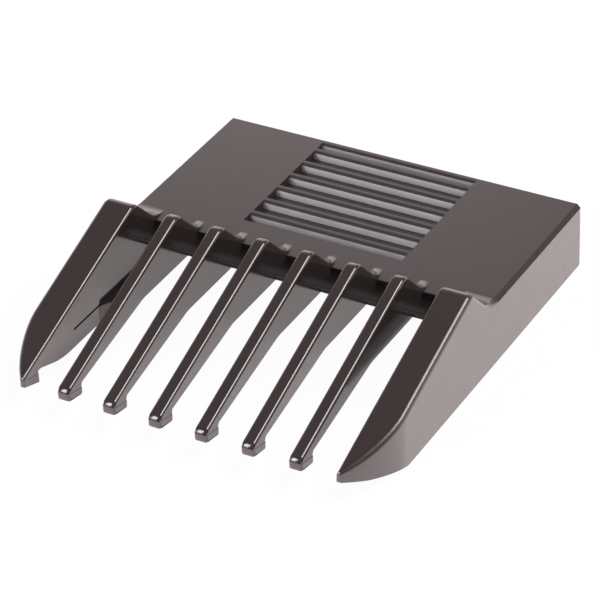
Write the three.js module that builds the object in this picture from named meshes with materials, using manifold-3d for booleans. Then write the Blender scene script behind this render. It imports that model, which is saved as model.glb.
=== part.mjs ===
// Clip-on guide comb for a hair clipper, in millimetres, +Z up, teeth pointing to -Y.
//
// It is one plastic moulding in life. Here each moulded feature is a solid of its own, and
// neighbours meet face to face. Every solid is first drawn with y = 0 on the rear edge and
// z = 0 on the top of the plate, then the whole group is put on the ground by its last line.

import * as THREE from 'three';
import { mergeVertices } from 'three/addons/utils/BufferGeometryUtils.js';
import Module from 'manifold-3d';

const wasm = await Module();
wasm.setup();

// ---- Driving dimensions ----

// Plate and the walls under it
const combWidth = 48;
const plateLength = 22.5;
const plateThickness = 2;
const outerEdgeRadius = 0.75;
const wallHeight = 6.5;
const wallThickness = 1.5;

// Teeth, measured forward from the front of the plate and up or down from its top
const toothCount = 6;
const toothWidth = 1.6;
const toothReach = 31.7;
const toothEdgeRadius = 0.3;
const rootFlat = 0.1;
const blendRadius = 4.2;
const rampAngle = THREE.MathUtils.degToRad(45);
const peakHeight = 4.56;
const peakRadius = 1.5;
const tipTopDepth = 4.6;
const noseRadius = 0.9;
const undersideKink = 15;
const kinkRadius = 4;
const tipThickness = 1.5;

// Foot that hooks down in front of the blade
const footLength = 2.85;
const footFrontHeight = 1.5;
const footHeelDrop = 0.8;
const footCornerRadius = 0.1;

// Coves that join the roots of the teeth
const lipDistance = 2.5;
const coveLength = 2.4;
const coveEdge = 0.25;

// End guards
const guardWidth = 4;
const guardNoseRadius = 12;
const guardEdgeRadius = 0.2;
const guardInnerDepth = 6.72;
const guardInnerRise = 4.9;
const skirtKink = 22.5;
const skirtToeOverlap = 0.1;
const skirtToeLift = 0.2;

// Rails that the blade's sides rest on, from under the plate to half way along the guards
const railDepth = 4.5;
const railReach = 15.6;
const railLength = 10.5;
const railWidth = 0.8;
const railLeadIn = 1.35;
const railNoseWidth = 0.2;

// Ribbed thumb grip sunk in the plate
const gripWidth = 21;
const gripLength = 19.5;
const gripRearMargin = 0.85;
const gripDepth = 1.12;
const ribCount = 6;
const ribPitch = 3.18;
const ribLead = 1.56;
const ribShoulderDrop = 0.27;
const ribShoulderLength = 0.7;
const ribCrestDrop = 0.03;
const ribFootGap = 0.3;

// Clip tab that snaps behind the blade
const tabWidth = 20;
const tabThickness = 1.2;
const tabGroundClearance = 0.5;
const catchReach = 0.9;
const catchHeight = 2.2;
const catchLeadIn = 1.2;

// ---- Sizes that follow ----

const halfWidth = combWidth / 2;
const wallBottom = -(plateThickness + wallHeight);
const wallInner = halfWidth - wallThickness;
const guardInner = halfWidth - guardWidth;
const gapWidth = (2 * guardInner - toothCount * toothWidth) / (toothCount + 1);
const toothPitch = gapWidth + toothWidth;
const blendSetback = blendRadius * Math.tan(rampAngle / 2);
const peakDistance = rootFlat + blendSetback + peakHeight / Math.tan(rampAngle);
const topFall = (peakHeight + tipTopDepth) / (toothReach - peakDistance);
const footBack = toothReach - footLength;
const footBackTop = -tipTopDepth + topFall * footLength - tipThickness;
const footFrontBottom = -tipTopDepth - footFrontHeight;
const footHeel = footFrontBottom - footHeelDrop;
const footCorner = toothEdgeRadius + footCornerRadius;
const toothCentre = (index) => (index - (toothCount - 1) / 2) * toothPitch;

// How far a solid that cuts reaches past the one that it cuts
const cutterRoom = 1;

// y of a point this far in front of the plate
const ahead = (distance) => -(plateLength + distance);

// ---- Outlines and solids ----

// Points along an arc of a circle or an ellipse
function arc(centreU, centreV, radiusU, radiusV, fromAngle, toAngle, steps) {
  return Array.from({ length: steps + 1 }, (_, step) => {
    const angle = fromAngle + (toAngle - fromAngle) * step / steps;
    return [centreU + radiusU * Math.cos(angle), centreV + radiusV * Math.sin(angle)];
  });
}

// A closed outline through corners [u, v, radius]; a radius rounds its corner with an arc.
const cornerSteps = 6;
function outline(corners) {
  const count = corners.length;
  const points = corners.map(([u, v]) => new THREE.Vector2(u, v));
  const path = corners.flatMap(([u, v, radius = 0], index) => {
    if (radius === 0) return [[u, v]];
    const corner = points[index];
    const back = points[(index + count - 1) % count].clone().sub(corner).normalize();
    const forth = points[(index + 1) % count].clone().sub(corner).normalize();
    const halfAngle = Math.acos(THREE.MathUtils.clamp(back.dot(forth), -1, 1)) / 2;
    const centre = back.clone().add(forth).normalize();
    centre.multiplyScalar(radius / Math.sin(halfAngle)).add(corner);
    const start = corner.clone().addScaledVector(back, radius / Math.tan(halfAngle));
    const startAngle = start.sub(centre).angle();
    const turn = (Math.PI - 2 * halfAngle) * -Math.sign(back.cross(forth));
    return arc(centre.x, centre.y, radius, radius, startAngle, startAngle + turn, cornerSteps);
  });
  return new THREE.Shape(path.map(([u, v]) => new THREE.Vector2(u, v)));
}

const rectangle = (u0, v0, u1, v1) => outline([[u0, v0], [u1, v0], [u1, v1], [u0, v1]]);

// An outline drawn in y and z, extruded across the comb.
const acrossComb = new THREE.Matrix4().makeBasis(
  new THREE.Vector3(0, 1, 0), new THREE.Vector3(0, 0, 1), new THREE.Vector3(1, 0, 0));
function extrudeAcross(shape, fromX, toX, edgeRadius = 0) {
  const geometry = new THREE.ExtrudeGeometry(shape, {
    depth: toX - fromX - 2 * edgeRadius,
    bevelEnabled: edgeRadius > 0,
    bevelThickness: edgeRadius,
    bevelSize: edgeRadius,
    bevelOffset: -edgeRadius,
    bevelSegments: 3,
  });
  geometry.applyMatrix4(acrossComb);
  geometry.translate(fromX + edgeRadius, 0, 0);
  return geometry;
}

// An outline drawn in x and z, extruded forward from the rear edge.
const alongComb = new THREE.Matrix4().makeBasis(
  new THREE.Vector3(1, 0, 0), new THREE.Vector3(0, 0, 1), new THREE.Vector3(0, -1, 0));
function extrudeForward(shape, length) {
  const geometry = new THREE.ExtrudeGeometry(shape, { depth: length, bevelEnabled: false });
  geometry.applyMatrix4(alongComb);
  return geometry;
}

// An outline drawn in x and y, extruded upward.
function extrudeUp(shape, fromZ, toZ) {
  const settings = { depth: toZ - fromZ, bevelEnabled: false };
  const geometry = new THREE.ExtrudeGeometry(shape, settings);
  geometry.translate(0, 0, fromZ);
  return geometry;
}

// Between three.js geometry and manifold-3d solids
function solidOf(geometry) {
  const bare = geometry.clone();
  bare.deleteAttribute('normal');
  bare.deleteAttribute('uv');
  const merged = mergeVertices(bare);
  const vertProperties = new Float32Array(merged.attributes.position.array);
  const triVerts = new Uint32Array(merged.index.array);
  return new wasm.Manifold(new wasm.Mesh({ numProp: 3, vertProperties, triVerts }));
}

function geometryOf(solid) {
  const { vertProperties, triVerts } = solid.getMesh();
  const geometry = new THREE.BufferGeometry();
  geometry.setAttribute('position', new THREE.BufferAttribute(vertProperties, 3));
  geometry.setIndex(new THREE.BufferAttribute(triVerts, 1));
  geometry.computeVertexNormals();
  return geometry;
}

// The same geometry on the other side of the comb, still facing outward
function mirrored(geometry) {
  const copy = geometry.index ? geometry.toNonIndexed() : geometry.clone();
  copy.scale(-1, 1, 1);
  const position = copy.attributes.position;
  const first = new THREE.Vector3();
  const third = new THREE.Vector3();
  for (let corner = 0; corner < position.count; corner += 3) {
    first.fromBufferAttribute(position, corner);
    third.fromBufferAttribute(position, corner + 2);
    position.setXYZ(corner, ...third);
    position.setXYZ(corner + 2, ...first);
  }
  copy.computeVertexNormals();
  return copy;
}

// ---- Comb ----

const comb = new THREE.Group();

const plastic = { color: 0x5f5755, roughness: 0.35, metalness: 0 };
const toothPlastic = { color: 0x413735, roughness: 0.25, metalness: 0 };

function add(name, geometry, finish = plastic) {
  const mesh = new THREE.Mesh(geometry, new THREE.MeshStandardMaterial(finish));
  mesh.name = name;
  comb.add(mesh);
}

// ---- Plate with its sunk thumb grip ----

const gripFront = -(gripRearMargin + gripLength);

// The recess's rear wall ends in the same sloped shoulder as the ribs' front faces.
const pocketProfile = outline([
  [gripFront, -gripDepth],
  [-gripRearMargin, -gripDepth],
  [-gripRearMargin, -ribShoulderDrop],
  [-gripRearMargin + ribShoulderLength, 0],
  [-gripRearMargin + ribShoulderLength, cutterRoom],
  [gripFront, cutterRoom],
]);

function topPlate() {
  const section = outline([
    [-halfWidth, -plateThickness],
    [halfWidth, -plateThickness],
    [halfWidth, 0, outerEdgeRadius],
    [-halfWidth, 0, outerEdgeRadius],
  ]);
  const plate = solidOf(extrudeForward(section, plateLength));
  const cutter = solidOf(extrudeAcross(pocketProfile, -gripWidth / 2, gripWidth / 2));
  return geometryOf(plate.subtract(cutter));
}
add('top_plate', topPlate());

// Each rib has a steep front, a short shoulder up to its crest and a long slope behind.
function gripRib(index) {
  const face = gripFront + ribLead + index * ribPitch;
  const crest = face + ribShoulderLength;
  const tail = face + ribPitch - ribFootGap;
  const end = Math.min(tail, -gripRearMargin);
  const slope = (gripDepth - ribCrestDrop) / (tail - crest);
  const endHeight = -ribCrestDrop - slope * (end - crest);
  const corners = [
    [face, -gripDepth],
    [end, -gripDepth],
    [crest, -ribCrestDrop],
    [face, -ribShoulderDrop],
  ];
  if (end < tail) corners.splice(2, 0, [end, endHeight]);
  return extrudeAcross(outline(corners), -gripWidth / 2, gripWidth / 2);
}
for (let index = 0; index < ribCount; index += 1) {
  add(`grip_rib_${index + 1}`, gripRib(index));
}

// ---- Side walls under the plate ----

const sideWall = extrudeAcross(
  rectangle(-plateLength, wallBottom, 0, -plateThickness), wallInner, halfWidth);
add('right_side_wall', sideWall);
add('left_side_wall', mirrored(sideWall));

// From above: on the wall under the plate, then on the guard's inner face, with a lead-in.
const railInner = guardInner - railWidth;
const bladeRail = extrudeUp(outline([
  [railInner, -plateLength + railLength],
  [railInner, ahead(railReach - railLeadIn)],
  [guardInner - railNoseWidth, ahead(railReach)],
  [guardInner, ahead(railReach)],
  [guardInner, ahead(0)],
  [wallInner, ahead(0)],
  [wallInner, -plateLength + railLength],
]), -guardInnerDepth, -railDepth);
add('right_blade_rail', bladeRail);
add('left_blade_rail', mirrored(bladeRail));

// ---- Clip tab at the rear ----

const tabBottom = wallBottom + tabGroundClearance;
add('rear_clip_tab', extrudeAcross(
  rectangle(-tabThickness, tabBottom, 0, -plateThickness), -tabWidth / 2, tabWidth / 2));

add('rear_clip_catch', extrudeAcross(outline([
  [-tabThickness, tabBottom],
  [-tabThickness, tabBottom + catchHeight],
  [-tabThickness - catchReach, tabBottom + catchLeadIn],
]), -tabWidth / 2, tabWidth / 2));

// ---- Teeth ----

const toothTop = [
  [ahead(rootFlat + blendSetback), 0, blendRadius],
  [ahead(peakDistance), peakHeight, peakRadius],
  [ahead(toothReach), -tipTopDepth, noseRadius],
];
const foot = [
  [ahead(toothReach), footFrontBottom, footCorner],
  [ahead(footBack), footHeel, footCorner],
  [ahead(footBack), footBackTop],
];
const toothBehindRoot = 2;

// The long tooth has round edges, and a square root where it joins the plate and the coves.
function tooth(centre) {
  const profile = outline([
    [ahead(-toothBehindRoot), 0],
    ...toothTop,
    ...foot,
    [ahead(undersideKink), -plateThickness, kinkRadius],
    [ahead(-toothBehindRoot), -plateThickness],
  ]);
  const left = centre - toothWidth / 2;
  const right = centre + toothWidth / 2;
  const blade = solidOf(extrudeAcross(profile, left, right, toothEdgeRadius));
  const inFront = rectangle(
    ahead(toothReach + cutterRoom), footHeel - cutterRoom, ahead(0), peakHeight + cutterRoom);
  const window = solidOf(extrudeAcross(inFront, left - cutterRoom, right + cutterRoom));
  const rootProfile = rectangle(ahead(lipDistance + coveLength), -plateThickness, ahead(0), 0);
  const root = solidOf(extrudeAcross(rootProfile, left, right));
  return geometryOf(blade.intersect(window).add(root));
}
for (let index = 0; index < toothCount; index += 1) {
  add(`tooth_${index + 1}`, tooth(toothCentre(index)), toothPlastic);
}

// ---- Coves between the roots ----

const coveFront = ahead(lipDistance + coveLength);
const coveSteps = 10;
const coveProfile = outline([
  [ahead(0), -plateThickness],
  [ahead(0), 0],
  ...arc(coveFront, 0, coveLength, plateThickness - coveEdge, 0, -Math.PI / 2, coveSteps),
  [coveFront, -plateThickness],
]);
for (let index = 0; index <= toothCount; index += 1) {
  const right = index < toothCount ? toothCentre(index) - toothWidth / 2 : guardInner;
  const left = index > 0 ? toothCentre(index - 1) + toothWidth / 2 : -guardInner;
  add(`root_cove_${index + 1}`, extrudeAcross(coveProfile, left, right));
}

// ---- End guards ----

// In plan a guard is straight, then curves in to its tip with a round nose.
const noseSteps = 16;
const noseCentreX = halfWidth - guardNoseRadius;
const noseStart = toothReach - Math.sqrt(
  guardNoseRadius ** 2 - (guardNoseRadius - guardWidth) ** 2);
function guardPlan(outer, inner) {
  const radius = outer - noseCentreX;
  const tipAngle = -Math.acos((inner - noseCentreX) / radius);
  return outline([
    [inner, ahead(0)],
    ...arc(noseCentreX, ahead(noseStart), radius, radius, tipAngle, 0, noseSteps),
    [outer, ahead(0)],
  ]);
}

// Solid under the tooth's upper outline, which has the large round edge on its outer side
function guardCrown() {
  const past = toothReach + 2 * guardWidth;
  const below = wallBottom - guardWidth;
  const profile = outline([
    [ahead(-toothBehindRoot), 0],
    ...toothTop.slice(0, 2),
    [ahead(past), peakHeight - topFall * (past - peakDistance)],
    [ahead(past), below],
    [ahead(-toothBehindRoot), below],
  ]);
  return solidOf(extrudeAcross(profile, guardInner - guardWidth, halfWidth, outerEdgeRadius));
}

const riseSteps = 8;
function guard() {
  const outerProfile = outline([
    [ahead(-toothBehindRoot), 0],
    ...toothTop,
    [ahead(toothReach), footFrontBottom + skirtToeLift],
    [ahead(footBack - skirtToeOverlap), footHeel + skirtToeLift],
    [ahead(skirtKink), wallBottom],
    [ahead(-toothBehindRoot), wallBottom],
  ]);
  const shell = solidOf(extrudeAcross(
    outerProfile, guardInner, halfWidth, guardEdgeRadius));
  const outerPlan = guardPlan(halfWidth, guardInner);
  const plan = solidOf(extrudeUp(outerPlan, wallBottom - cutterRoom, peakHeight + cutterRoom));

  const rise = guardInnerDepth + footBackTop;
  const riseRadius = (guardInnerRise ** 2 + rise ** 2) / (2 * rise);
  const riseAngle = Math.asin(guardInnerRise / riseRadius);
  const hollowProfile = outline([
    [ahead(-toothBehindRoot), wallBottom - cutterRoom],
    [ahead(-toothBehindRoot), -guardInnerDepth],
    ...arc(
      ahead(footBack - guardInnerRise), riseRadius - guardInnerDepth, riseRadius, riseRadius,
      -Math.PI / 2, -Math.PI / 2 - riseAngle, riseSteps),
    [ahead(footBack), wallBottom - cutterRoom],
  ]);
  const innerPlan = guardPlan(wallInner, guardInner - cutterRoom);
  const hollow = solidOf(extrudeAcross(hollowProfile, guardInner - cutterRoom, halfWidth))
    .intersect(solidOf(extrudeUp(innerPlan, wallBottom - 2 * cutterRoom, peakHeight)));
  return geometryOf(shell.intersect(guardCrown()).intersect(plan).subtract(hollow));
}
const rightGuard = guard();
add('right_guard', rightGuard, toothPlastic);
add('left_guard', mirrored(rightGuard), toothPlastic);

// ---- On the ground, centred under its bounding box ----

comb.position.set(0, (plateLength + toothReach) / 2, -wallBottom);

export default comb;
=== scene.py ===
import math

import bmesh
import bpy
from mathutils import Matrix, Vector


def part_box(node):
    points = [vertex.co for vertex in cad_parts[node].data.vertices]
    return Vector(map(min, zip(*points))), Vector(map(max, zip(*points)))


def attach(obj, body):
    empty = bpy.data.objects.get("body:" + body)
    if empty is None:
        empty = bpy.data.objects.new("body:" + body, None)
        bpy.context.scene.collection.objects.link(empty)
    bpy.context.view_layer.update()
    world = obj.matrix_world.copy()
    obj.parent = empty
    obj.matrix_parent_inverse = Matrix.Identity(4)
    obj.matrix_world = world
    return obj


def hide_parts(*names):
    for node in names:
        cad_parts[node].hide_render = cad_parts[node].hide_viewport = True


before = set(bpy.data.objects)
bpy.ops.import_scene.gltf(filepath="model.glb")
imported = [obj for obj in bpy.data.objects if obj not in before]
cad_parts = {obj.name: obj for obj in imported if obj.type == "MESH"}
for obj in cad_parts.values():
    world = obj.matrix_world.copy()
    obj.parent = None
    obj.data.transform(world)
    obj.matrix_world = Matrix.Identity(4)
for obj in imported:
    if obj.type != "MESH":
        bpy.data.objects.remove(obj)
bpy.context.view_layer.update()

bl_info = {
    "name": "Hair Clipper Guide Comb",
    "version": (1, 0, 0),
    "blender": (4, 5, 0),
    "location": "3D View > Sidebar > Guide Comb",
    "description": "Builds a moulded guide comb for a hair clipper, piece by piece",
    "category": "Add Mesh",
}

# ---- The comb's own frame, in millimetres ----
# y = 0 is the rear edge of the plate and z = 0 is its top. The teeth point to -Y.

MM = 0.001
PLATE_LOW, PLATE_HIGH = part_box("top_plate")
TOOTH_LOW, TOOTH_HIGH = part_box("tooth_1")
WALL_LOW, WALL_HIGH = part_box("right_side_wall")
GUARD_LOW, GUARD_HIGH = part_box("right_guard")
TAB_LOW, TAB_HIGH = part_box("rear_clip_tab")
CATCH_LOW, CATCH_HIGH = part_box("rear_clip_catch")
RAIL_LOW, RAIL_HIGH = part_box("right_blade_rail")
COMB_ORIGIN = Vector((0, PLATE_HIGH.y, PLATE_HIGH.z))
TOOTH_COUNT = 6
RIB_COUNT = 6
COVE_COUNT = TOOTH_COUNT + 1

# How far two lengths may differ and still be taken as the same, in millimetres
SAME = 0.0005

# How far a cutting solid reaches past what it cuts
ROOM = 2

# The least share of a normal along an axis for a face that points straight along it
LEVEL = 0.99


def length(name, description, default):
    return bpy.props.FloatProperty(
        name=name, description=description, default=default, min=0, unit="LENGTH", precision=5)


def colour(name, description, default):
    return bpy.props.FloatVectorProperty(
        name=name, description=description, default=default, min=0, max=1, size=3, subtype="COLOR")


def share(name, description, default):
    return bpy.props.FloatProperty(
        name=name, description=description, default=default, min=0, max=1, subtype="FACTOR")


class CombPlateSizes(bpy.types.PropertyGroup):
    """Sizes of the plate, its walls and its thumb grip"""
    edge_chamfer: length("Edge chamfer", "Chamfer of the plate's long upper edges", 0.5 * MM)
    rear_radius: length("Rear radius", "Radius of the plate's rear upper edge", 0.08 * MM)
    grip_width: length("Grip width", "Width of the sunk thumb grip", 21 * MM)
    grip_length: length("Grip length", "Length of the sunk thumb grip", 19.5 * MM)
    grip_margin: length("Grip rear margin", "From the plate's rear edge to the grip", 0.85 * MM)
    grip_depth: length("Grip depth", "Depth of the thumb grip's floor", 1.12 * MM)
    rib_pitch: length("Rib pitch", "From one rib of the grip to the next", 3.18 * MM)
    rib_lead: length("Rib lead", "From the grip's front end to the first rib", 1.56 * MM)
    shoulder_drop: length("Shoulder drop", "Height of a rib's front shoulder", 0.27 * MM)
    shoulder_length: length("Shoulder length", "Length of a rib's front shoulder", 0.3 * MM)


class CombToothSizes(bpy.types.PropertyGroup):
    """Sizes of the teeth and of the coved lip that they stand in"""
    peak_height: length("Peak height", "Height of a tooth's peak before it is rounded", 4.56 * MM)
    peak_radius: length("Peak radius", "Radius of a tooth's peak", 1.5 * MM)
    blend_radius: length("Root blend", "Radius of the curve from the plate up to a tooth", 4.2 * MM)
    edge_radius: length("Edge radius", "Radius of a tooth's long upper edges", 0.38 * MM)
    nose_radius: length("Nose radius", "Radius of a tooth's nose", 0.9 * MM)
    tip_drop: length("Tip drop", "From the plate's top down to a tooth's nose", 4.6 * MM)
    cove_radius: length("Cove radius", "Radius of the cove between the roots of the teeth", 2.4 * MM)


class CombGuardSizes(bpy.types.PropertyGroup):
    """Sizes of the end guards"""
    nose_length: length("Nose length", "Length of the curved part of a guard's outer side", 8.95 * MM)
    tip_radius: length("Tip radius", "Radius of a guard's tip, seen from above", 0.45 * MM)
    outer_radius: length("Outer radius", "Radius of a guard's outer upper edge", 0.66 * MM)
    inner_radius: length("Inner radius", "Radius of a guard's inner upper edge", 0.38 * MM)
    lower_radius: length("Lower radius", "Radius of a guard's lower edges", 0.06 * MM)


class CombFinish(bpy.types.PropertyGroup):
    """Colours and gloss of the plastic, with painted light on the grip's front faces and painted
    shade in the cove
    """
    plastic: colour("Plastic", "Colour of the moulded plastic", (0.030, 0.0225, 0.023))
    mottle: colour(
        "Mottle", "Second colour, which clouds the plastic faintly", (0.027, 0.0203, 0.0207))
    # Cove colour: darker than the plastic, painted shade of the deep cove between the teeth
    shaded: colour(
        "Shaded plastic", "Colour of the dull cove between the teeth", (0.019, 0.0175, 0.0165))
    # Grip face colours: near white, a painted reflection of the front lamp on the grip's steep front
    # faces
    grip_painted_reflection: colour(
        "Grip face", "Colour of the grained faces in the thumb grip", (0.75, 0.76, 0.81))
    grip_painted_reflection_mottle: colour("Grip shade", "Second colour of the grained faces", (0.66, 0.67, 0.72))
    plate_roughness: share("Plate roughness", "Roughness of the plate's satin finish", 0.3)
    tooth_roughness: share("Tooth roughness", "Roughness of the polished teeth and guards", 0.13)


class CombStage(bpy.types.PropertyGroup):
    """Floor and light"""
    floor: colour("Floor", "Colour of the floor", (0.9, 0.9, 0.9))
    floor_size: length("Floor size", "Length of the floor's sides", 1.6)
    sky: bpy.props.FloatProperty(
        name="Sky", description="Strength of the studio's soft light", default=1.4, min=0)
    side_light: bpy.props.FloatProperty(
        name="Side light", description="Power of the softbox on the right", default=2.4, min=0,
        unit="POWER")
    front_light: bpy.props.FloatProperty(
        name="Front light", description="Power of the small lamp at the front", default=1.3, min=0,
        unit="POWER")
    rear_light: bpy.props.FloatProperty(
        name="Rear light", description="Power of the low, near lamp behind the comb",
        default=0.019, min=0, unit="POWER")


# ---- Making meshes, in millimetres ----

def ahead(distance):
    """y of a point this far in front of the plate."""
    return -(plate_length() + distance)


def plate_length():
    return (PLATE_HIGH.y - PLATE_LOW.y) / MM


def to_comb(point):
    """A point of the row's frame, in the comb's own millimetres."""
    return (point - COMB_ORIGIN) / MM


def prism(corners, start, way):
    """A solid whose outline has these corners, pushed out from start along way."""
    mesh = bmesh.new()
    face = mesh.faces.new([mesh.verts.new(Vector(corner) + Vector(start)) for corner in corners])
    pushed = bmesh.ops.extrude_face_region(mesh, geom=[face])
    moved = [item for item in pushed["geom"] if isinstance(item, bmesh.types.BMVert)]
    bmesh.ops.translate(mesh, verts=moved, vec=way)
    bmesh.ops.recalc_face_normals(mesh, faces=mesh.faces)
    return mesh


def across(corners, low_x, high_x):
    """A solid whose outline, drawn in y and z, is pushed across the comb."""
    return prism([(0, y, z) for y, z in corners], (low_x, 0, 0), (high_x - low_x, 0, 0))


def upward(corners, low_z, high_z):
    """A solid whose outline, drawn in x and y, is pushed upward."""
    return prism([(x, y, 0) for x, y in corners], (0, 0, low_z), (0, 0, high_z - low_z))


def round_edges(mesh, edges, offset, steps):
    """Bevel these edges with a round profile."""
    if not edges:
        raise RuntimeError("there is no edge to round here")
    bmesh.ops.bevel(
        mesh, geom=edges, affect="EDGES", offset_type="OFFSET", offset=offset, segments=steps,
        profile=0.5, material=-1, clamp_overlap=False)


def round_corner(mesh, place, radius, steps):
    """Round the one straight edge that passes through this place, seen end on.

    The place is given as an axis to value mapping, such as {1: y, 2: z}.
    """
    found = [edge for edge in mesh.edges
             if all(abs(vert.co[axis] - value) < SAME for vert in edge.verts
                    for axis, value in place.items())]
    if len(found) != 1:
        raise RuntimeError(f"{len(found)} edges pass through {place}, not one")
    turn = found[0].calc_face_angle()
    round_edges(mesh, found, radius * math.tan(turn / 2), steps)


def round_profile(mesh, corners):
    """Round the corners (y, z, radius, steps) of a solid that was pushed across the comb."""
    for y, z, radius, steps in corners:
        round_corner(mesh, {1: y, 2: z}, radius, steps)


def sharp_edges(mesh, least_degrees, keep=None):
    """The edges that turn by at least this angle and that keep accepts."""
    least = math.radians(least_degrees)
    return [edge for edge in mesh.edges
            if edge.is_manifold and edge.calc_face_angle() > least and (keep is None or keep(edge))]


def lies_in(edge, axis, value):
    """Whether the whole edge lies in the plane where this axis has this value."""
    return all(abs(vert.co[axis] - value) < SAME * 4 for vert in edge.verts)


def loose_object(mesh):
    """A passing object that holds the mesh while a modifier works on it."""
    data = bpy.data.meshes.new("passing")
    mesh.to_mesh(data)
    mesh.free()
    thing = bpy.data.objects.new("passing", data)
    bpy.context.scene.collection.objects.link(thing)
    return thing


def worked_by(thing, kind, helpers=(), **settings):
    """The mesh that a modifier with these settings makes of the object, which is then removed."""
    step = thing.modifiers.new("step", kind)
    for key, value in settings.items():
        setattr(step, key, value)
    result = bmesh.new()
    result.from_object(thing, bpy.context.evaluated_depsgraph_get())
    for used in (thing, *helpers):
        data = used.data
        bpy.data.objects.remove(used)
        bpy.data.meshes.remove(data)
    return result


def combine(body, tool, operation):
    """The body cut by the tool, or the part that both share."""
    cutter = loose_object(tool)
    result = worked_by(
        loose_object(body), "BOOLEAN", [cutter], object=cutter, operation=operation, solver="EXACT")
    bmesh.ops.remove_doubles(result, verts=result.verts, dist=SAME)
    flat = math.radians(0.1)
    bmesh.ops.dissolve_limit(
        result, angle_limit=flat, verts=result.verts, edges=result.edges, delimit=set())
    bmesh.ops.recalc_face_normals(result, faces=result.faces)
    return result


def rounded_block(low, high, edges):
    """A block with rounded edges, each given by its place seen end on, its radius and steps.

    The edges along each axis are rounded on a block of their own, and the result is what the
    three blocks share, so that a fillet keeps its radius all the way to a corner.
    """
    body = None
    for axis in range(3):
        size = high - low
        size[axis] += 2 * ROOM
        block = bmesh.new()
        bmesh.ops.create_cube(
            block, size=1, matrix=Matrix.Translation((low + high) / 2) @ Matrix.Diagonal((*size, 1)))
        for place, radius, steps in edges:
            if axis not in place:
                round_corner(block, place, radius, steps)
        body = combine(body, block, "INTERSECT") if body else block
    return body


def round_by_radius(mesh, radius_of, widest, steps):
    """Round each edge by its own radius, which radius_of gives, or None to leave it sharp."""
    weight = mesh.edges.layers.float.new("bevel_weight_edge")
    for edge in mesh.edges:
        edge[weight] = (radius_of(edge) or 0) / widest
    result = worked_by(
        loose_object(mesh), "BEVEL", width=widest, segments=steps, limit_method="WEIGHT",
        offset_type="OFFSET", profile=0.5, use_clamp_overlap=False, material=-1)
    bmesh.ops.remove_doubles(result, verts=result.verts, dist=SAME)
    return result


def mirrored(mesh):
    """A copy of the mesh on the other side of the comb."""
    twin = mesh.copy()
    bmesh.ops.scale(twin, verts=twin.verts, vec=(-1, 1, 1))
    bmesh.ops.recalc_face_normals(twin, faces=twin.faces)
    return twin


def remove_piece(name):
    old = bpy.data.objects.get(name)
    if old is not None:
        bpy.data.objects.remove(old)


def finish_piece(name, mesh, materials, stands_for, smooth_degrees=40):
    """Put the mesh in the scene as a piece: in metres, in place, shaded, with its materials."""
    open_edges = [edge for edge in mesh.edges if not edge.is_manifold]
    if open_edges:
        raise RuntimeError(f"{name} has {len(open_edges)} open edges")
    remove_piece(name)
    into_place = Matrix.Translation(COMB_ORIGIN) @ Matrix.Scale(MM, 4)
    bmesh.ops.transform(mesh, matrix=into_place, verts=mesh.verts)
    data = bpy.data.meshes.new(name)
    mesh.to_mesh(data)
    mesh.free()
    data.shade_smooth()
    data.set_sharp_from_angle(angle=math.radians(smooth_degrees))
    for material in materials:
        data.materials.append(material)
    piece = bpy.data.objects.new(name, data)
    bpy.context.scene.collection.objects.link(piece)
    weighted = piece.modifiers.new("even shading", "WEIGHTED_NORMAL")
    weighted.keep_sharp = True
    weighted.weight = 100
    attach(piece, "root")
    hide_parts(*stands_for)
    return piece


# ---- Plastic finishes ----

# How strongly the plastic mirrors what is round it: in general, and in the dull cove
SHINE = 0.7
DULL_SHINE = 0.12
PLASTIC_IOR = 1.53

# Scale of the grain that the mould leaves, and its height in millimetres
SATIN_GRAIN = (3200, 0.002)
GLOSS_GRAIN = (1500, 0.0012)
DULL_GRAIN = (3200, 0.004)
GRIP_GRAIN = (5000, 0.012)
GRIP_ROUGHNESS = 0.6
DULL_CLOUD = 0.85
CLOUD_SCALE = 140
SHEEN_SCALE = 600
SHEEN_LOW, SHEEN_HIGH = 0.92, 1.08
NOISE_LOW, NOISE_HIGH = 0.3, 0.7


class Nodes:
    """A material's node tree, laid out from left to right as it is built."""

    def __init__(self, material):
        self.tree = material.node_tree
        self.shader = self.tree.nodes["Principled BSDF"]
        self.count = 0

    def add(self, kind, **settings):
        node = self.tree.nodes.new(kind)
        self.count += 1
        node.location = (-220 * self.count, 0)
        for key, value in settings.items():
            setattr(node, key, value)
        return node

    def join(self, start, end):
        self.tree.links.new(start, end)

    def noise(self, place, scale, detail):
        node = self.add("ShaderNodeTexNoise")
        node.inputs["Scale"].default_value = scale
        node.inputs["Detail"].default_value = detail
        self.join(place, node.inputs["Vector"])
        return node.outputs["Fac"]

    def spread(self, value, low, high):
        """Map the middle of a noise onto the range from low to high."""
        node = self.add("ShaderNodeMapRange")
        node.inputs["From Min"].default_value = NOISE_LOW
        node.inputs["From Max"].default_value = NOISE_HIGH
        node.inputs["To Min"].default_value = low
        node.inputs["To Max"].default_value = high
        self.join(value, node.inputs["Value"])
        return node.outputs["Result"]


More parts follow.
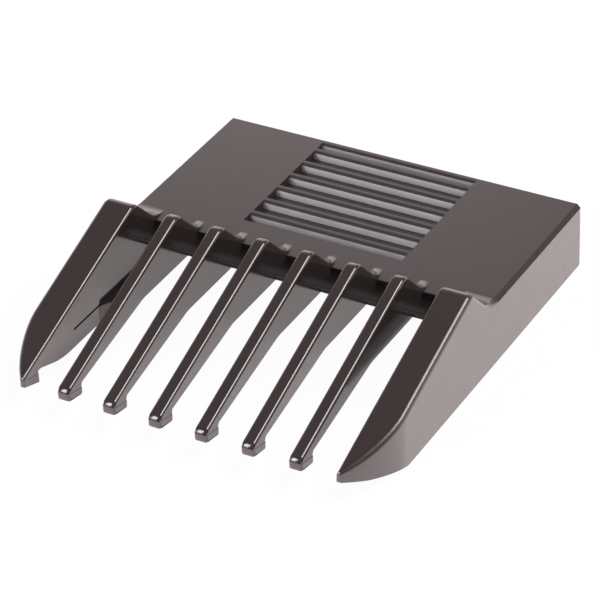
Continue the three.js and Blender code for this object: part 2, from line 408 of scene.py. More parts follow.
def moulded_plastic(name, first, second, roughness, grain, shine=SHINE):
    """Plastic with a faint cloud in its colour, uneven gloss and a fine moulded grain."""
    old = bpy.data.materials.get(name)
    if old is not None:
        return old
    material = bpy.data.materials.new(name)
    material.use_nodes = True
    nodes = Nodes(material)
    place = nodes.add("ShaderNodeTexCoord").outputs["Object"]
    cloud = nodes.noise(place, CLOUD_SCALE, 3)
    blend = nodes.add("ShaderNodeMix", data_type="RGBA")
    nodes.join(nodes.spread(cloud, 0, 1), blend.inputs["Factor"])
    blend.inputs["A"].default_value = (*first, 1)
    blend.inputs["B"].default_value = (*second, 1)
    nodes.join(blend.outputs["Result"], nodes.shader.inputs["Base Color"])
    sheen = nodes.noise(place, SHEEN_SCALE, 4)
    uneven = nodes.spread(sheen, roughness * SHEEN_LOW, roughness * SHEEN_HIGH)
    nodes.join(uneven, nodes.shader.inputs["Roughness"])
    grain_scale, grain_height = grain
    pits = nodes.noise(place, grain_scale, 2)
    bump = nodes.add("ShaderNodeBump")
    bump.inputs["Strength"].default_value = 1
    bump.inputs["Distance"].default_value = grain_height * MM
    nodes.join(pits, bump.inputs["Height"])
    nodes.join(bump.outputs["Normal"], nodes.shader.inputs["Normal"])
    nodes.shader.inputs["IOR"].default_value = PLASTIC_IOR
    nodes.shader.inputs["Specular IOR Level"].default_value = shine
    return material


def satin():
    """The finish of the plate, the walls and the guards' outer sides."""
    finish = bpy.context.scene.comb_finish
    return moulded_plastic(
        "satin moulded plastic", finish.plastic, finish.mottle, finish.plate_roughness,
        SATIN_GRAIN)


def gloss():
    """The finish of the teeth and the rest of the guards."""
    finish = bpy.context.scene.comb_finish
    return moulded_plastic(
        "polished moulded plastic", finish.plastic, finish.mottle, finish.tooth_roughness,
        GLOSS_GRAIN)


def dull():
    """The finish of the cove between the teeth: less shine, and a darker colour that paints on the
    cove's shade.
    """
    finish = bpy.context.scene.comb_finish
    darker = [part * DULL_CLOUD for part in finish.shaded]
    return moulded_plastic(
        "dull plastic with painted shade", finish.shaded, darker, finish.plate_roughness, DULL_GRAIN,
        DULL_SHINE)


def grain_and_painted_light():
    """The finish of the grip's front faces: a fine grain, and a near-white colour painted on as the
    front lamp's reflection
    """
    finish = bpy.context.scene.comb_finish
    return moulded_plastic(
        "grained grip face", finish.grip_painted_reflection, finish.grip_painted_reflection_mottle, GRIP_ROUGHNESS, GRIP_GRAIN)


# ---- Plate ----

REAR_CORNER_RADIUS = 0.12


def cut_along(mesh, axis, values):
    """Cut the whole mesh by planes across this axis."""
    normal = Vector((0, 0, 0))
    normal[axis] = 1
    for value in values:
        point = normal * value
        bmesh.ops.bisect_plane(
            mesh, geom=[*mesh.verts, *mesh.edges, *mesh.faces], dist=SAME / 5, plane_co=point,
            plane_no=normal)


def plate_mesh(sizes):
    """The plate with chamfered long edges and a sunk, straight-walled grip pocket."""
    low, high = to_comb(PLATE_LOW), to_comb(PLATE_HIGH)
    half_grip = sizes.grip_width / MM / 2
    margin = sizes.grip_margin / MM
    front = -(margin + sizes.grip_length / MM)
    shoulder = sizes.shoulder_length / MM
    edges = [({1: high.y, 2: high.z}, sizes.rear_radius / MM, 4)]
    for side in (low.x, high.x):
        edges.append(({0: side, 2: high.z}, sizes.edge_chamfer / MM, 1))
        edges.append(({0: side, 1: high.y}, REAR_CORNER_RADIUS, 3))
    mesh = rounded_block(low, high, edges)
    cut_along(mesh, 0, (-half_grip, half_grip))
    cut_along(mesh, 1, (front, -margin + shoulder))
    floor = [face for face in mesh.faces
             if face.normal.z > LEVEL and abs(face.calc_center_median().x) < half_grip
             and front < face.calc_center_median().y < -margin + shoulder]
    sunk = bmesh.ops.extrude_face_region(mesh, geom=floor)
    bmesh.ops.delete(mesh, geom=floor, context="FACES_ONLY")
    verts = [item for item in sunk["geom"] if isinstance(item, bmesh.types.BMVert)]
    bmesh.ops.translate(mesh, verts=verts, vec=(0, 0, -sizes.shoulder_drop / MM))
    rear = [vert for vert in verts if vert.co.y > -margin]
    bmesh.ops.translate(mesh, verts=rear, vec=(0, -shoulder, 0))
    floor = [item for item in sunk["geom"] if isinstance(item, bmesh.types.BMFace)]
    deeper = bmesh.ops.extrude_face_region(mesh, geom=floor)
    bmesh.ops.delete(mesh, geom=floor, context="FACES_ONLY")
    verts = [item for item in deeper["geom"] if isinstance(item, bmesh.types.BMVert)]
    drop = (sizes.grip_depth - sizes.shoulder_drop) / MM
    bmesh.ops.translate(mesh, verts=verts, vec=(0, 0, -drop))
    bmesh.ops.recalc_face_normals(mesh, faces=mesh.faces)
    # The pocket's front-facing rear wall gets the grip face colour, a painted reflection of the front
    # lamp
    for face in mesh.faces:
        middle = face.calc_center_median()
        if face.normal.y < -0.9 and abs(middle.x) < half_grip and middle.y > -margin - SAME:
            face.material_index = 1
    return mesh


class COMB_OT_plate(bpy.types.Operator):
    """Build the top plate with its sunk pocket for the thumb grip"""
    bl_idname = "comb.plate"
    bl_label = "Top Plate"

    def execute(self, context):
        mesh = plate_mesh(context.scene.comb_plate)
        finish_piece("plate", mesh, [satin(), grain_and_painted_light()], ["top_plate"])
        return {"FINISHED"}


# ---- Thumb grip ----

CREST_WIDTH = 0.5
RIB_EDGE_ROUND = 0.04
RIB_FOOT_GAP = 0.8
RIB_SMOOTH_DEGREES = 15


def rib_mesh(sizes, index):
    """One saw-tooth rib: a steep front, a short shoulder, a narrow crest and a long back."""
    half_grip = sizes.grip_width / MM / 2
    rear_wall = -sizes.grip_margin / MM
    floor = -sizes.grip_depth / MM
    pitch = sizes.rib_pitch / MM
    front = rear_wall - sizes.grip_length / MM + sizes.rib_lead / MM + index * pitch
    crest = front + sizes.shoulder_length / MM
    tail = front + pitch - RIB_FOOT_GAP
    end = min(tail, rear_wall)
    slope = -floor / (tail - crest - CREST_WIDTH)
    corners = [(front, floor), (end, floor)]
    if end < tail:
        corners.append((end, -slope * (end - crest - CREST_WIDTH)))
    corners += [(crest + CREST_WIDTH, 0), (crest, 0), (front, -sizes.shoulder_drop / MM)]
    mesh = across(corners, -half_grip, half_grip)
    # The steep front face gets the grip face colour, a painted reflection of the front lamp
    for face in mesh.faces:
        if face.normal.y < -LEVEL:
            face.material_index = 1
    edges = sharp_edges(
        mesh, 10, lambda edge: min(vert.co.z for vert in edge.verts) > floor / 2
        and abs(edge.verts[0].co.x - edge.verts[1].co.x) > half_grip)
    round_edges(mesh, edges, RIB_EDGE_ROUND, 2)
    return mesh


class COMB_OT_grip_ribs(bpy.types.Operator):
    """Build the saw-tooth ribs of the thumb grip"""
    bl_idname = "comb.grip_ribs"
    bl_label = "Grip Ribs"

    def execute(self, context):
        for index in range(RIB_COUNT):
            finish_piece(
                f"thumb_rib_{index + 1}", rib_mesh(context.scene.comb_plate, index),
                [satin(), grain_and_painted_light()], [f"grip_rib_{index + 1}"], RIB_SMOOTH_DEGREES)
        return {"FINISHED"}


# ---- Walls, rails and clip under the plate ----

WALL_EDGE_ROUND = 0.2
GROUND_EDGE_ROUND = 0.06
HEEL_RADIUS = 0.5
RAIL_EDGE_ROUND = 0.1
RAIL_LEAD_IN = 1.35
RAIL_NOSE = 0.05
CATCH_NOSE_HEIGHT = 0.545
CATCH_NOSE_RADIUS = 0.15


class COMB_OT_side_walls(bpy.types.Operator):
    """Build the two walls under the plate's long edges"""
    bl_idname = "comb.side_walls"
    bl_label = "Side Walls"

    def execute(self, context):
        low, high = to_comb(WALL_LOW), to_comb(WALL_HIGH)
        mesh = rounded_block(low, high, [
            ({1: high.y, 2: low.z}, HEEL_RADIUS, 5),
            ({0: high.x, 1: high.y}, REAR_CORNER_RADIUS, 3),
            ({0: high.x, 2: low.z}, GROUND_EDGE_ROUND, 2),
            ({0: low.x, 2: low.z}, WALL_EDGE_ROUND, 3)])
        twin = mirrored(mesh)
        finish_piece("wall_right", mesh, [satin()], ["right_side_wall"])
        finish_piece("wall_left", twin, [satin()], ["left_side_wall"])
        return {"FINISHED"}


class COMB_OT_blade_rails(bpy.types.Operator):
    """Build the rails on the walls' inner sides that hold the blade"""
    bl_idname = "comb.blade_rails"
    bl_label = "Blade Rails"

    def execute(self, context):
        low, high = to_comb(RAIL_LOW), to_comb(RAIL_HIGH)
        inner = to_comb(GUARD_LOW).x
        seam = ahead(0)
        mesh = upward(
            [(low.x, high.y), (low.x, low.y + RAIL_LEAD_IN), (inner - RAIL_NOSE, low.y),
             (inner + ROOM / 4, low.y), (inner + ROOM / 4, seam), (high.x, seam), (high.x, high.y)],
            low.z, high.z)
        edges = sharp_edges(
            mesh, 15, lambda edge: max(vert.co.x for vert in edge.verts) < inner + SAME)
        round_edges(mesh, edges, RAIL_EDGE_ROUND, 3)
        twin = mirrored(mesh)
        finish_piece("rail_right", mesh, [satin()], ["right_blade_rail"])
        finish_piece("rail_left", twin, [satin()], ["left_blade_rail"])
        return {"FINISHED"}


class COMB_OT_clip(bpy.types.Operator):
    """Build the tab and the catch that snap behind the blade"""
    bl_idname = "comb.clip"
    bl_label = "Rear Clip"

    def execute(self, context):
        low, high = to_comb(TAB_LOW), to_comb(TAB_HIGH)
        tab = across(
            [(low.y, low.z), (high.y, low.z), (high.y, high.z), (low.y, high.z)], low.x, high.x)
        edges = sharp_edges(
            tab, 35, lambda edge: lies_in(edge, 1, high.y) and not lies_in(edge, 2, high.z)
            and min(vert.co.z for vert in edge.verts) < high.z - 1)
        round_edges(tab, edges, WALL_EDGE_ROUND, 3)
        finish_piece("clip_tab", tab, [satin()], ["rear_clip_tab"])
        low, high = to_comb(CATCH_LOW), to_comb(CATCH_HIGH)
        nose_z = low.z + (high.z - low.z) * CATCH_NOSE_HEIGHT
        catch = across([(high.y, low.z), (high.y, high.z), (low.y, nose_z)], low.x, high.x)
        round_corner(catch, {1: low.y, 2: nose_z}, CATCH_NOSE_RADIUS, 3)
        finish_piece("clip_catch", catch, [satin()], ["rear_clip_catch"])
        return {"FINISHED"}


# ---- Coved lip ----

LIP_DISTANCE = 2.5
COVE_EDGE = 0.25
LIP_EDGE_ROUND = 0.15
COVE_STEPS = 16


class COMB_OT_root_lip(bpy.types.Operator):
    """Build the coved lip between the roots of the teeth"""
    bl_idname = "comb.root_lip"
    bl_label = "Root Lip"

    def execute(self, context):
        radius = context.scene.comb_teeth.cove_radius / MM
        half = to_comb(GUARD_LOW).x
        under = to_comb(PLATE_LOW).z
        front = LIP_DISTANCE + radius
        mesh = bmesh.new()
        top = mesh.verts.new((-half, ahead(LIP_DISTANCE), 0))
        swept = bmesh.ops.spin(
            mesh, geom=[top], cent=(-half, ahead(front), 0), axis=(1, 0, 0), dvec=(0, 0, 0),
            angle=-math.pi / 2, steps=COVE_STEPS, use_merge=False, use_normal_flip=False,
            use_duplicate=False)
        bmesh.ops.scale(mesh, verts=mesh.verts, vec=(1, 1, (-under - COVE_EDGE) / radius))
        last = [item for item in swept["geom_last"] if isinstance(item, bmesh.types.BMVert)][0]
        behind = [mesh.verts.new((-half, y, z)) for y, z in
                  ((ahead(front), under), (ahead(0), under), (ahead(0), 0))]
        for start, end in zip([last, *behind], [*behind, top]):
            mesh.edges.new((start, end))
        face = bmesh.ops.contextual_create(mesh, geom=list(mesh.edges))["faces"]
        pushed = bmesh.ops.extrude_face_region(mesh, geom=face)
        verts = [item for item in pushed["geom"] if isinstance(item, bmesh.types.BMVert)]
        bmesh.ops.translate(mesh, verts=verts, vec=(2 * half, 0, 0))
        bmesh.ops.recalc_face_normals(mesh, faces=mesh.faces)
        round_corner(mesh, {1: ahead(LIP_DISTANCE), 2: 0}, LIP_EDGE_ROUND, 3)
        # The cove's faces get the darker dull colour, painted shade; its upward faces keep the satin
        # plate colour
        for side in mesh.faces:
            side.material_index = 1 if side.normal.z > LEVEL else 0
        coves = [f"root_cove_{index + 1}" for index in range(COVE_COUNT)]
        finish_piece("root_lip", mesh, [dull(), satin()], coves)
        return {"FINISHED"}


# ---- Teeth ----

ROOT_FLAT = 0.1
RAMP_ANGLE = math.radians(45)
UNDERSIDE_KINK = 15
KINK_RADIUS = 4
TIP_THICKNESS = 1.5
FOOT_LENGTH = 2.85
FOOT_FRONT = 1.5
FOOT_HEEL = 0.6
FOOT_RADIUS = 0.4
FOOT_BACK_RADIUS = 0.1
HIDDEN = 0.006
LOWER_EDGE_ROUND = 0.14
FOOT_EDGE_ROUND = 0.3
LEDGE_RISE = 1.1
LEDGE_SLOPE = 0.025
LEDGE_SCALE = 1.06
TOOTH_SMOOTH_DEGREES = 50


def top_line(sizes):
    """Corners (distance in front of the plate, z, radius, steps) of a tooth's upper outline."""
    blend = sizes.blend_radius / MM
    setback = blend * math.tan(RAMP_ANGLE / 2)
    peak = sizes.peak_height / MM
    tip = -TOOTH_LOW.y / MM + COMB_ORIGIN.y / MM - plate_length()
    return [
        (ROOT_FLAT + setback, 0, blend, 12),
        (ROOT_FLAT + setback + peak / math.tan(RAMP_ANGLE), peak, sizes.peak_radius / MM, 8),
        (tip, -sizes.tip_drop / MM, sizes.nose_radius / MM, 6)]


def foot_line(sizes):
    """Corners of the hooked foot's outline, in the same form as the top line."""
    peak, tip = top_line(sizes)[1:]
    fall = (peak[1] - tip[1]) / (tip[0] - peak[0])
    front = tip[1] - FOOT_FRONT
    back = tip[0] - FOOT_LENGTH
    return [
        (tip[0], front, FOOT_RADIUS, 4),
        (back, front - FOOT_HEEL, FOOT_RADIUS, 4),
        (back, tip[1] + fall * FOOT_LENGTH - TIP_THICKNESS, FOOT_BACK_RADIUS, 2)]


def tooth_mesh(sizes):
    """One tooth, in the middle of the comb, with its root sunk in the lip."""
    under = to_comb(PLATE_LOW).z + HIDDEN
    half = (TOOTH_HIGH.x - TOOTH_LOW.x) / MM / 2
    top = top_line(sizes)
    foot = foot_line(sizes)
    kink = (UNDERSIDE_KINK, under, KINK_RADIUS, 8)
    rounded = [(d, z - HIDDEN, radius, steps) for d, z, radius, steps in (*top, *foot)]
    rounded.append(kink)
    outline = [(HIDDEN, -HIDDEN), *[(d, z) for d, z, radius, steps in rounded], (HIDDEN, under)]
    mesh = across([(ahead(d), z) for d, z in outline], -half, half)
    round_profile(mesh, [(ahead(d), z, radius, steps) for d, z, radius, steps in rounded])
    seam = ahead(HIDDEN)
    widest = sizes.edge_radius / MM
    heel = ahead(foot[1][0])

    def radius_of(edge):
        if edge.calc_face_angle() < math.radians(60) or lies_in(edge, 1, seam):
            return None
        if is_upper(edge):
            return widest
        in_foot = all(vert.co.y < heel + SAME for vert in edge.verts)
        return FOOT_EDGE_ROUND if in_foot else LOWER_EDGE_ROUND

    mesh = round_by_radius(mesh, radius_of, widest, 5)
    bmesh.ops.scale(mesh, verts=cut_at_ledge(mesh, foot), vec=(LEDGE_SCALE, 1, 1))
    return mesh


def cut_at_ledge(mesh, foot):
    """Cut the mesh along the fine ledge round a hooked foot, and give the vertices below it."""
    front, heel = foot[:2]
    normal = Vector((0, front[1] - heel[1], front[0] - heel[0])).normalized()
    upper = Vector((0, ahead(front[0]), front[1] + LEDGE_RISE))
    lower = upper - normal * LEDGE_SLOPE
    for point in (upper, lower):
        bmesh.ops.bisect_plane(
            mesh, geom=[*mesh.verts, *mesh.edges, *mesh.faces], dist=SAME / 5, plane_co=point,
            plane_no=normal)
    return [vert for vert in mesh.verts if (vert.co - lower).dot(normal) < SAME]


def is_upper(edge):
    """Whether an edge of a tooth's rim belongs to its upper outline."""
    return any(face.normal.z > 0.05 or face.normal.y < -0.9 for face in edge.link_faces
               if abs(face.normal.x) < 0.5)


class COMB_OT_teeth(bpy.types.Operator):
    """Build the teeth with their hooked feet"""
    bl_idname = "comb.teeth"
    bl_label = "Teeth"

    def execute(self, context):
        for index in range(TOOTH_COUNT):
            node = f"tooth_{index + 1}"
            low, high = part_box(node)
            mesh = tooth_mesh(context.scene.comb_teeth)
            middle = (low.x + high.x) / MM / 2
            bmesh.ops.translate(mesh, verts=mesh.verts, vec=(middle, 0, 0))
            finish_piece(
                f"comb_{node}", mesh, [gloss()], [node], TOOTH_SMOOTH_DEGREES)
        return {"FINISHED"}


# ---- End guards ----

SKIRT_KINK = 22.5
SKIRT_OVERLAP = 0.1
SKIRT_LIFT = 0.2
SKIRT_DROP = 0.2
INNER_DEPTH = 6.72
INNER_RISE = 4.9
NOSE_STEPS = 28

# Share of the largest radius that fits the nose, which keeps the curve clear of its corners
NOSE_FIT = 0.999
TAPER_LENGTH = 3.6
TAPER_END = 0.3
GROOVE_Z = -4.52
GROOVE_HEIGHT = 0.3
GROOVE_REACH = 21.1
SATIN_FROM = 0.2
LEDGE_STEP = 0.05


def guard_plan(depth, inner, sizes, low_z, high_z, tip_radius):
    """A guard's outline from above, moved inward by depth and pushed upward.

    Its outer side is straight, then curves in to the tip.
    """
    half_width = to_comb(GUARD_HIGH).x
    guard_inner = to_comb(GUARD_LOW).x
    nose = sizes.nose_length / MM
    reach = top_line(bpy.context.scene.comb_teeth)[-1][0]
    start = reach - nose
    turn = 2 * math.atan((half_width - guard_inner) / nose)
    rounded_off = sizes.tip_radius / MM * (1 / math.tan(turn / 2) - 1)
    nose += rounded_off
    turn = 2 * math.atan((half_width - guard_inner) / nose)
    radius = nose / math.sin(turn) - depth
    outer = half_width - depth
    corner = start + radius * math.tan(turn / 2)
    tip = corner + (outer - inner) / math.tan(turn)
    mesh = upward(
        [(inner, ahead(0)), (outer, ahead(0)), (outer, ahead(corner)), (inner, ahead(tip))],
        low_z, high_z)
    round_corner(mesh, {0: outer, 1: ahead(corner)}, radius * NOSE_FIT, NOSE_STEPS)
    if tip_radius:
        round_corner(mesh, {0: inner, 1: ahead(tip)}, tip_radius, 6)
    return mesh


def guard_mesh(sizes):
    """The right guard: a thick tooth whose outer side is a skirt down to the ground."""
    teeth = bpy.context.scene.comb_teeth
    low, high = to_comb(GUARD_LOW), to_comb(GUARD_HIGH)
    top = top_line(teeth)
    front, heel, foot_back = foot_line(teeth)
    lower = [
        (front[0], front[1] + SKIRT_LIFT), (heel[0] - SKIRT_OVERLAP, heel[1] - SKIRT_DROP),
        (SKIRT_KINK, low.z), (-ROOM, low.z)]
    outline = [(-ROOM, 0), *[(d, z) for d, z, radius, steps in top], *lower]
    shell = across([(ahead(d), z) for d, z in outline], low.x - ROOM, high.x + ROOM)
    round_profile(shell, [(ahead(d), z, radius, steps) for d, z, radius, steps in top[:2]])
    plan = guard_plan(0, low.x, sizes, low.z - ROOM, high.z + ROOM, sizes.tip_radius / MM)
    body = combine(shell, plan, "INTERSECT")
    outer_radius = sizes.outer_radius / MM
    inner_radius = sizes.inner_radius / MM
    taper_from = ahead(top[2][0] - TAPER_LENGTH)
    taper_to = ahead(top[2][0] - TAPER_END)

    def radius_of(edge):
        if edge.calc_face_angle() < math.radians(35) or lies_in(edge, 1, ahead(0)):
            return None
        if not any(is_top(face) for face in edge.link_faces):
            return sizes.lower_radius / MM
        middle = (edge.verts[0].co.y + edge.verts[1].co.y) / 2
        if lies_in(edge, 0, low.x):
            beside_lip = (middle - ahead(LIP_DISTANCE)) / (ahead(ROOT_FLAT) - ahead(LIP_DISTANCE))
            return inner_radius * min(max(1 - beside_lip, 0), 1)
        near_tip = min(max((middle - taper_from) / (taper_to - taper_from), 0), 1)
        return outer_radius + (inner_radius - outer_radius) * near_tip

    body = round_by_radius(body, radius_of, outer_radius, 6)
    hollow = across(
        [(ahead(-ROOM), low.z - ROOM), (ahead(-ROOM), -INNER_DEPTH),
         (ahead(foot_back[0] - INNER_RISE), -INNER_DEPTH), (ahead(foot_back[0]), foot_back[1]),
         (ahead(foot_back[0]), low.z - ROOM)],
        low.x - ROOM, high.x)
    round_corner(
        hollow, {1: ahead(foot_back[0] - INNER_RISE), 2: -INNER_DEPTH}, 2 * INNER_RISE, 8)
    inside = guard_plan(
        high.x - to_comb(WALL_LOW).x, low.x - 1, sizes, low.z - 2 * ROOM, high.z, 0)
    body = combine(body, combine(hollow, inside, "INTERSECT"), "DIFFERENCE")
    groove = across(
        [(to_comb(RAIL_LOW).y + ROOM / 4, GROOVE_Z), (ahead(GROOVE_REACH), GROOVE_Z),
         (ahead(GROOVE_REACH), GROOVE_Z + GROOVE_HEIGHT),
         (to_comb(RAIL_LOW).y + ROOM / 4, GROOVE_Z + GROOVE_HEIGHT)],
        low.x - ROOM, low.x + GROOVE_HEIGHT)
    body = combine(body, groove, "DIFFERENCE")
    foot = [vert for vert in cut_at_ledge(body, (front, heel)) if abs(vert.co.x - low.x) < SAME
            and vert.co.y < ahead(foot_back[0]) + SAME]
    bmesh.ops.translate(body, verts=foot, vec=(-LEDGE_STEP, 0, 0))
    return body


def is_top(face):
    """Whether a face of a guard belongs to its upper outline."""
    return face.normal.z > 0.3


class COMB_OT_guards(bpy.types.Operator):
    """Build the wide end guards with their curved noses"""
    bl_idname = "comb.guards"
    bl_label = "End Guards"

    def execute(self, context):
        mesh = guard_mesh(context.scene.comb_guards)
        for face in mesh.faces:
            face.material_index = 1 if face.normal.x > SATIN_FROM else 0
        twin = mirrored(mesh)
        finishes = [gloss(), satin()]
        finish_piece("guard_right", mesh, finishes, ["right_guard"])
        finish_piece("guard_left", twin, finishes, ["left_guard"])
        return {"FINISHED"}


# ---- Stage ----

CAMERA_AZIMUTH = math.radians(30.07)
CAMERA_ELEVATION = math.radians(33.51)
CAMERA_ROLL = math.radians(-2.36)
CAMERA_OFFSET = Vector((12.28, 17.12, -382.86)) * MM
CAMERA_LENS = 188.6
CAMERA_SENSOR = 36
CAMERA_CLIP = (0.02, 20)

# How much of the table's white is its own glow for the camera, and its tint in reflections
TABLE_GLOW = 0.96
TABLE_TINT = (1, 0.92, 0.925)

# Towards the lamp, how far away it is, its width and height
SIDE_LIGHT = ((0.5, 0.23, 0.83), 0.5, (0.26, 0.26))
FRONT_LIGHT = ((-0.417, -0.813, 0.407), 0.5, (0.12, 0.3))
REAR_LIGHT = ((-0.45, 0.835, 0.31), 0.25, (0.1, 0.1))
LAMP_TARGET = Vector((0, 0, 8)) * MM
LAMP_TINT = (1, 0.97, 0.96)


def direction(azimuth, elevation):
    """The unit vector from the comb towards a camera at this azimuth and elevation."""
    flat = math.cos(elevation)
    return Vector((math.sin(azimuth) * flat, -math.cos(azimuth) * flat, math.sin(elevation)))


def add_camera():
    remove_piece("camera")
    back = direction(CAMERA_AZIMUTH, CAMERA_ELEVATION)
    level = Vector((math.cos(CAMERA_AZIMUTH), math.sin(CAMERA_AZIMUTH), 0))
    upright = back.cross(level)
    right = math.cos(CAMERA_ROLL) * level + math.sin(CAMERA_ROLL) * upright
    up = math.cos(CAMERA_ROLL) * upright - math.sin(CAMERA_ROLL) * level
    lens = bpy.data.cameras.new("camera")
    lens.lens = CAMERA_LENS
    lens.sensor_width = CAMERA_SENSOR
    lens.clip_start, lens.clip_end = CAMERA_CLIP
    camera = bpy.data.objects.new("camera", lens)
    turn = Matrix((right, up, back)).transposed()
    place = COMB_ORIGIN - turn @ CAMERA_OFFSET
    camera.matrix_world = Matrix.Translation(place) @ turn.to_4x4()
    bpy.context.scene.collection.objects.link(camera)
    bpy.context.scene.camera = camera


def add_softbox(name, towards, distance, size, power, tint):
    """A lamp of this width and height in this direction from the comb, facing it."""
    remove_piece(name)
    lamp = bpy.data.lights.new(name, "AREA")
    lamp.shape = "RECTANGLE"
    lamp.size, lamp.size_y = size
    lamp.energy = power
    lamp.color = tint
    box = bpy.data.objects.new(name, lamp)
    aim = Vector(towards).normalized()
    turn = aim.to_track_quat("Z", "Y").to_matrix().to_4x4()
    box.matrix_world = Matrix.Translation(LAMP_TARGET + aim * distance) @ turn
    bpy.context.scene.collection.objects.link(box)


def floor_material(tint):
    """A white table, for the camera and in reflections, that keeps the comb's shadow."""
    material = bpy.data.materials.get("table") or bpy.data.materials.new("table")
    material.use_nodes = True
    tree = material.node_tree
    tree.nodes.clear()
    new = tree.nodes.new
    join = tree.links.new
    rays = new("ShaderNodeLightPath")
    plain = new("ShaderNodeBsdfDiffuse")
    plain.inputs["Color"].default_value = (*tint, 1)
    lit_table = new("ShaderNodeBsdfDiffuse")
    lit_table.inputs["Color"].default_value = (*TABLE_TINT, 1)
    bright_table = new("ShaderNodeEmission")
    bright_table.inputs["Color"].default_value = (*TABLE_TINT, 1)
    bright_table.inputs["Strength"].default_value = 1
    mirrored_table = new("ShaderNodeAddShader")
    join(lit_table.outputs[0], mirrored_table.inputs[0])
    join(bright_table.outputs[0], mirrored_table.inputs[1])
    glow = new("ShaderNodeEmission")
    glow.inputs["Strength"].default_value = 1
    seen = new("ShaderNodeMixShader")
    seen.inputs["Fac"].default_value = 1 - TABLE_GLOW
    join(glow.outputs[0], seen.inputs[1])
    join(plain.outputs[0], seen.inputs[2])
    by_camera = new("ShaderNodeMixShader")
    join(rays.outputs["Is Camera Ray"], by_camera.inputs["Fac"])
    join(plain.outputs[0], by_camera.inputs[1])
    join(seen.outputs[0], by_camera.inputs[2])
    by_gloss = new("ShaderNodeMixShader")
    join(rays.outputs["Is Glossy Ray"], by_gloss.inputs["Fac"])
    join(by_camera.outputs[0], by_gloss.inputs[1])
    join(mirrored_table.outputs[0], by_gloss.inputs[2])
    out = new("ShaderNodeOutputMaterial")
    join(by_gloss.outputs[0], out.inputs["Surface"])
    return material


# Brightness of the studio by the sine of the elevation, behind the comb and to its right
SKY_BACK = (
    (0.0, (1.0, 0.90, 0.90)),
    (0.49, (0.55, 0.48, 0.475)),
    (0.6, (0.275, 0.233, 0.228)),
    (0.8, (0.25, 0.21, 0.21)),
    (1.0, (0.18, 0.155, 0.155)))
SKY_RIGHT = (
    (0.0, (0.42, 0.395, 0.395)),
    (0.3, (0.14, 0.13, 0.13)),
    (0.5, (0.14, 0.125, 0.125)),
    (0.8, (0.2, 0.17, 0.17)),
    (1.0, (0.18, 0.155, 0.155)))

# How much of the right side's brightness holds, by the direction's share to the right
SKY_SIDE = ((0.1, (0, 0, 0)), (0.45, (1, 1, 1)), (0.66, (1, 1, 1)), (0.78, (0, 0, 0)))

# The dim studio in front, and between which shares to the rear it gives way
SKY_FRONT = (0.18, 0.155, 0.155)
FRONT_FROM = 0.0
FRONT_TO = 0.4


def sky_ramp(tree, height, steps):
    ramp = tree.nodes.new("ShaderNodeValToRGB")
    tree.links.new(height, ramp.inputs["Fac"])
    stops = ramp.color_ramp.elements
    for _ in range(len(steps) - len(stops)):
        stops.new(0.5)
    for stop, (position, tint) in zip(stops, steps):
        stop.position = position
        stop.color = (*tint, 1)
    return ramp.outputs["Color"]


def add_sky(strength):
    """Soft light that is bright near the horizon behind, in front of a white background."""
    world = bpy.data.worlds.get("studio") or bpy.data.worlds.new("studio")
    bpy.context.scene.world = world
    world.use_nodes = True
    tree = world.node_tree
    tree.nodes.clear()
    new = tree.nodes.new
    join = tree.links.new
    towards = new("ShaderNodeTexCoord")
    parts = new("ShaderNodeSeparateXYZ")
    join(towards.outputs["Generated"], parts.inputs[0])
    sides = new("ShaderNodeMix")
    sides.data_type = "RGBA"
    join(sky_ramp(tree, parts.outputs["X"], SKY_SIDE), sides.inputs["Factor"])
    join(sky_ramp(tree, parts.outputs["Z"], SKY_BACK), sides.inputs["A"])
    join(sky_ramp(tree, parts.outputs["Z"], SKY_RIGHT), sides.inputs["B"])
    rearward = new("ShaderNodeMapRange")
    rearward.interpolation_type = "SMOOTHSTEP"
    rearward.inputs["From Min"].default_value = FRONT_FROM
    rearward.inputs["From Max"].default_value = FRONT_TO
    join(parts.outputs["Y"], rearward.inputs["Value"])
    whole = new("ShaderNodeMix")
    whole.data_type = "RGBA"
    join(rearward.outputs["Result"], whole.inputs["Factor"])
    whole.inputs["A"].default_value = (*SKY_FRONT, 1)
    join(sides.outputs["Result"], whole.inputs["B"])
    soft = new("ShaderNodeBackground")
    soft.inputs["Strength"].default_value = strength
    join(whole.outputs["Result"], soft.inputs["Color"])
    white = new("ShaderNodeBackground")
    white.inputs["Color"].default_value = (1, 1, 1, 1)
    rays = new("ShaderNodeLightPath")
    mix = new("ShaderNodeMixShader")
    join(rays.outputs["Is Camera Ray"], mix.inputs["Fac"])
    join(soft.outputs[0], mix.inputs[1])
    join(white.outputs[0], mix.inputs[2])
    out = new("ShaderNodeOutputWorld")
    join(mix.outputs[0], out.inputs["Surface"])


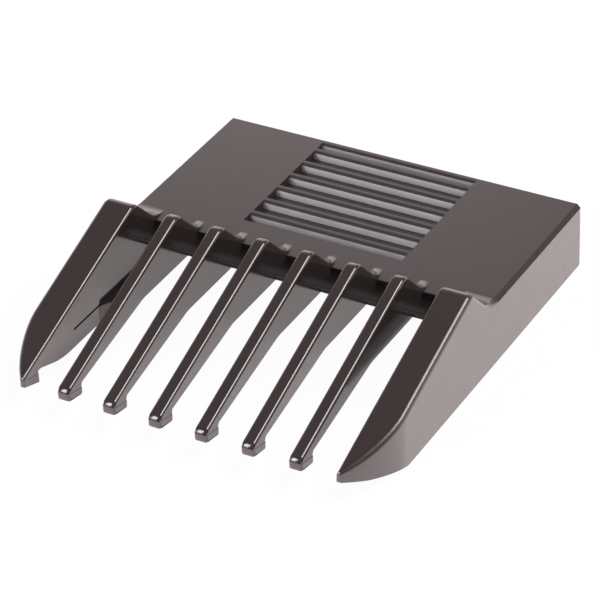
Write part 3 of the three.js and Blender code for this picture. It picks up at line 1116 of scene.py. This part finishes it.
class COMB_OT_stage(bpy.types.Operator):
    """Build the floor, the soft light and the camera"""
    bl_idname = "comb.stage"
    bl_label = "Stage"

    def execute(self, context):
        stage = context.scene.comb_stage
        remove_piece("floor")
        mesh = bmesh.new()
        bmesh.ops.create_grid(mesh, x_segments=1, y_segments=1, size=stage.floor_size / 2)
        data = bpy.data.meshes.new("floor")
        mesh.to_mesh(data)
        mesh.free()
        data.materials.append(floor_material(stage.floor))
        floor = bpy.data.objects.new("floor", data)
        context.scene.collection.objects.link(floor)
        add_camera()
        add_sky(stage.sky)
        add_softbox("side light", *SIDE_LIGHT, stage.side_light, LAMP_TINT)
        add_softbox("front light", *FRONT_LIGHT, stage.front_light, LAMP_TINT)
        add_softbox("rear light", *REAR_LIGHT, stage.rear_light, LAMP_TINT)
        context.scene.view_settings.view_transform = "Standard"
        return {"FINISHED"}


# ---- Panel and registration ----

class COMB_PT_sidebar(bpy.types.Panel):
    """Lists the comb's sizes, colours and pieces"""
    bl_idname = "COMB_PT_sidebar"
    bl_label = "Guide Comb"
    bl_space_type = "VIEW_3D"
    bl_region_type = "UI"
    bl_category = "Guide Comb"

    def draw(self, context):
        for group, label in SETTINGS.items():
            settings = getattr(context.scene, group)
            column = self.layout.column(heading=label)
            for name in type(settings).__annotations__:
                column.prop(settings, name)
        for operator in OPERATORS:
            self.layout.operator(operator.bl_idname)


SETTINGS = {
    "comb_plate": "Plate",
    "comb_teeth": "Teeth",
    "comb_guards": "Guards",
    "comb_finish": "Finish",
    "comb_stage": "Stage",
}
SETTING_TYPES = (CombPlateSizes, CombToothSizes, CombGuardSizes, CombFinish, CombStage)
OPERATORS = (
    COMB_OT_stage, COMB_OT_plate, COMB_OT_grip_ribs, COMB_OT_side_walls, COMB_OT_blade_rails,
    COMB_OT_clip, COMB_OT_root_lip, COMB_OT_teeth, COMB_OT_guards)


def register():
    for kind in (*SETTING_TYPES, *OPERATORS, COMB_PT_sidebar):
        bpy.utils.register_class(kind)
    for group, kind in zip(SETTINGS, SETTING_TYPES):
        setattr(bpy.types.Scene, group, bpy.props.PointerProperty(type=kind))


def unregister():
    for group in SETTINGS:
        delattr(bpy.types.Scene, group)
    for kind in reversed((*SETTING_TYPES, *OPERATORS, COMB_PT_sidebar)):
        bpy.utils.unregister_class(kind)


def main():
    register()
    for operator in OPERATORS:
        family, name = operator.bl_idname.split(".")
        getattr(getattr(bpy.ops, family), name)()


if __name__ == "__main__":
    main()
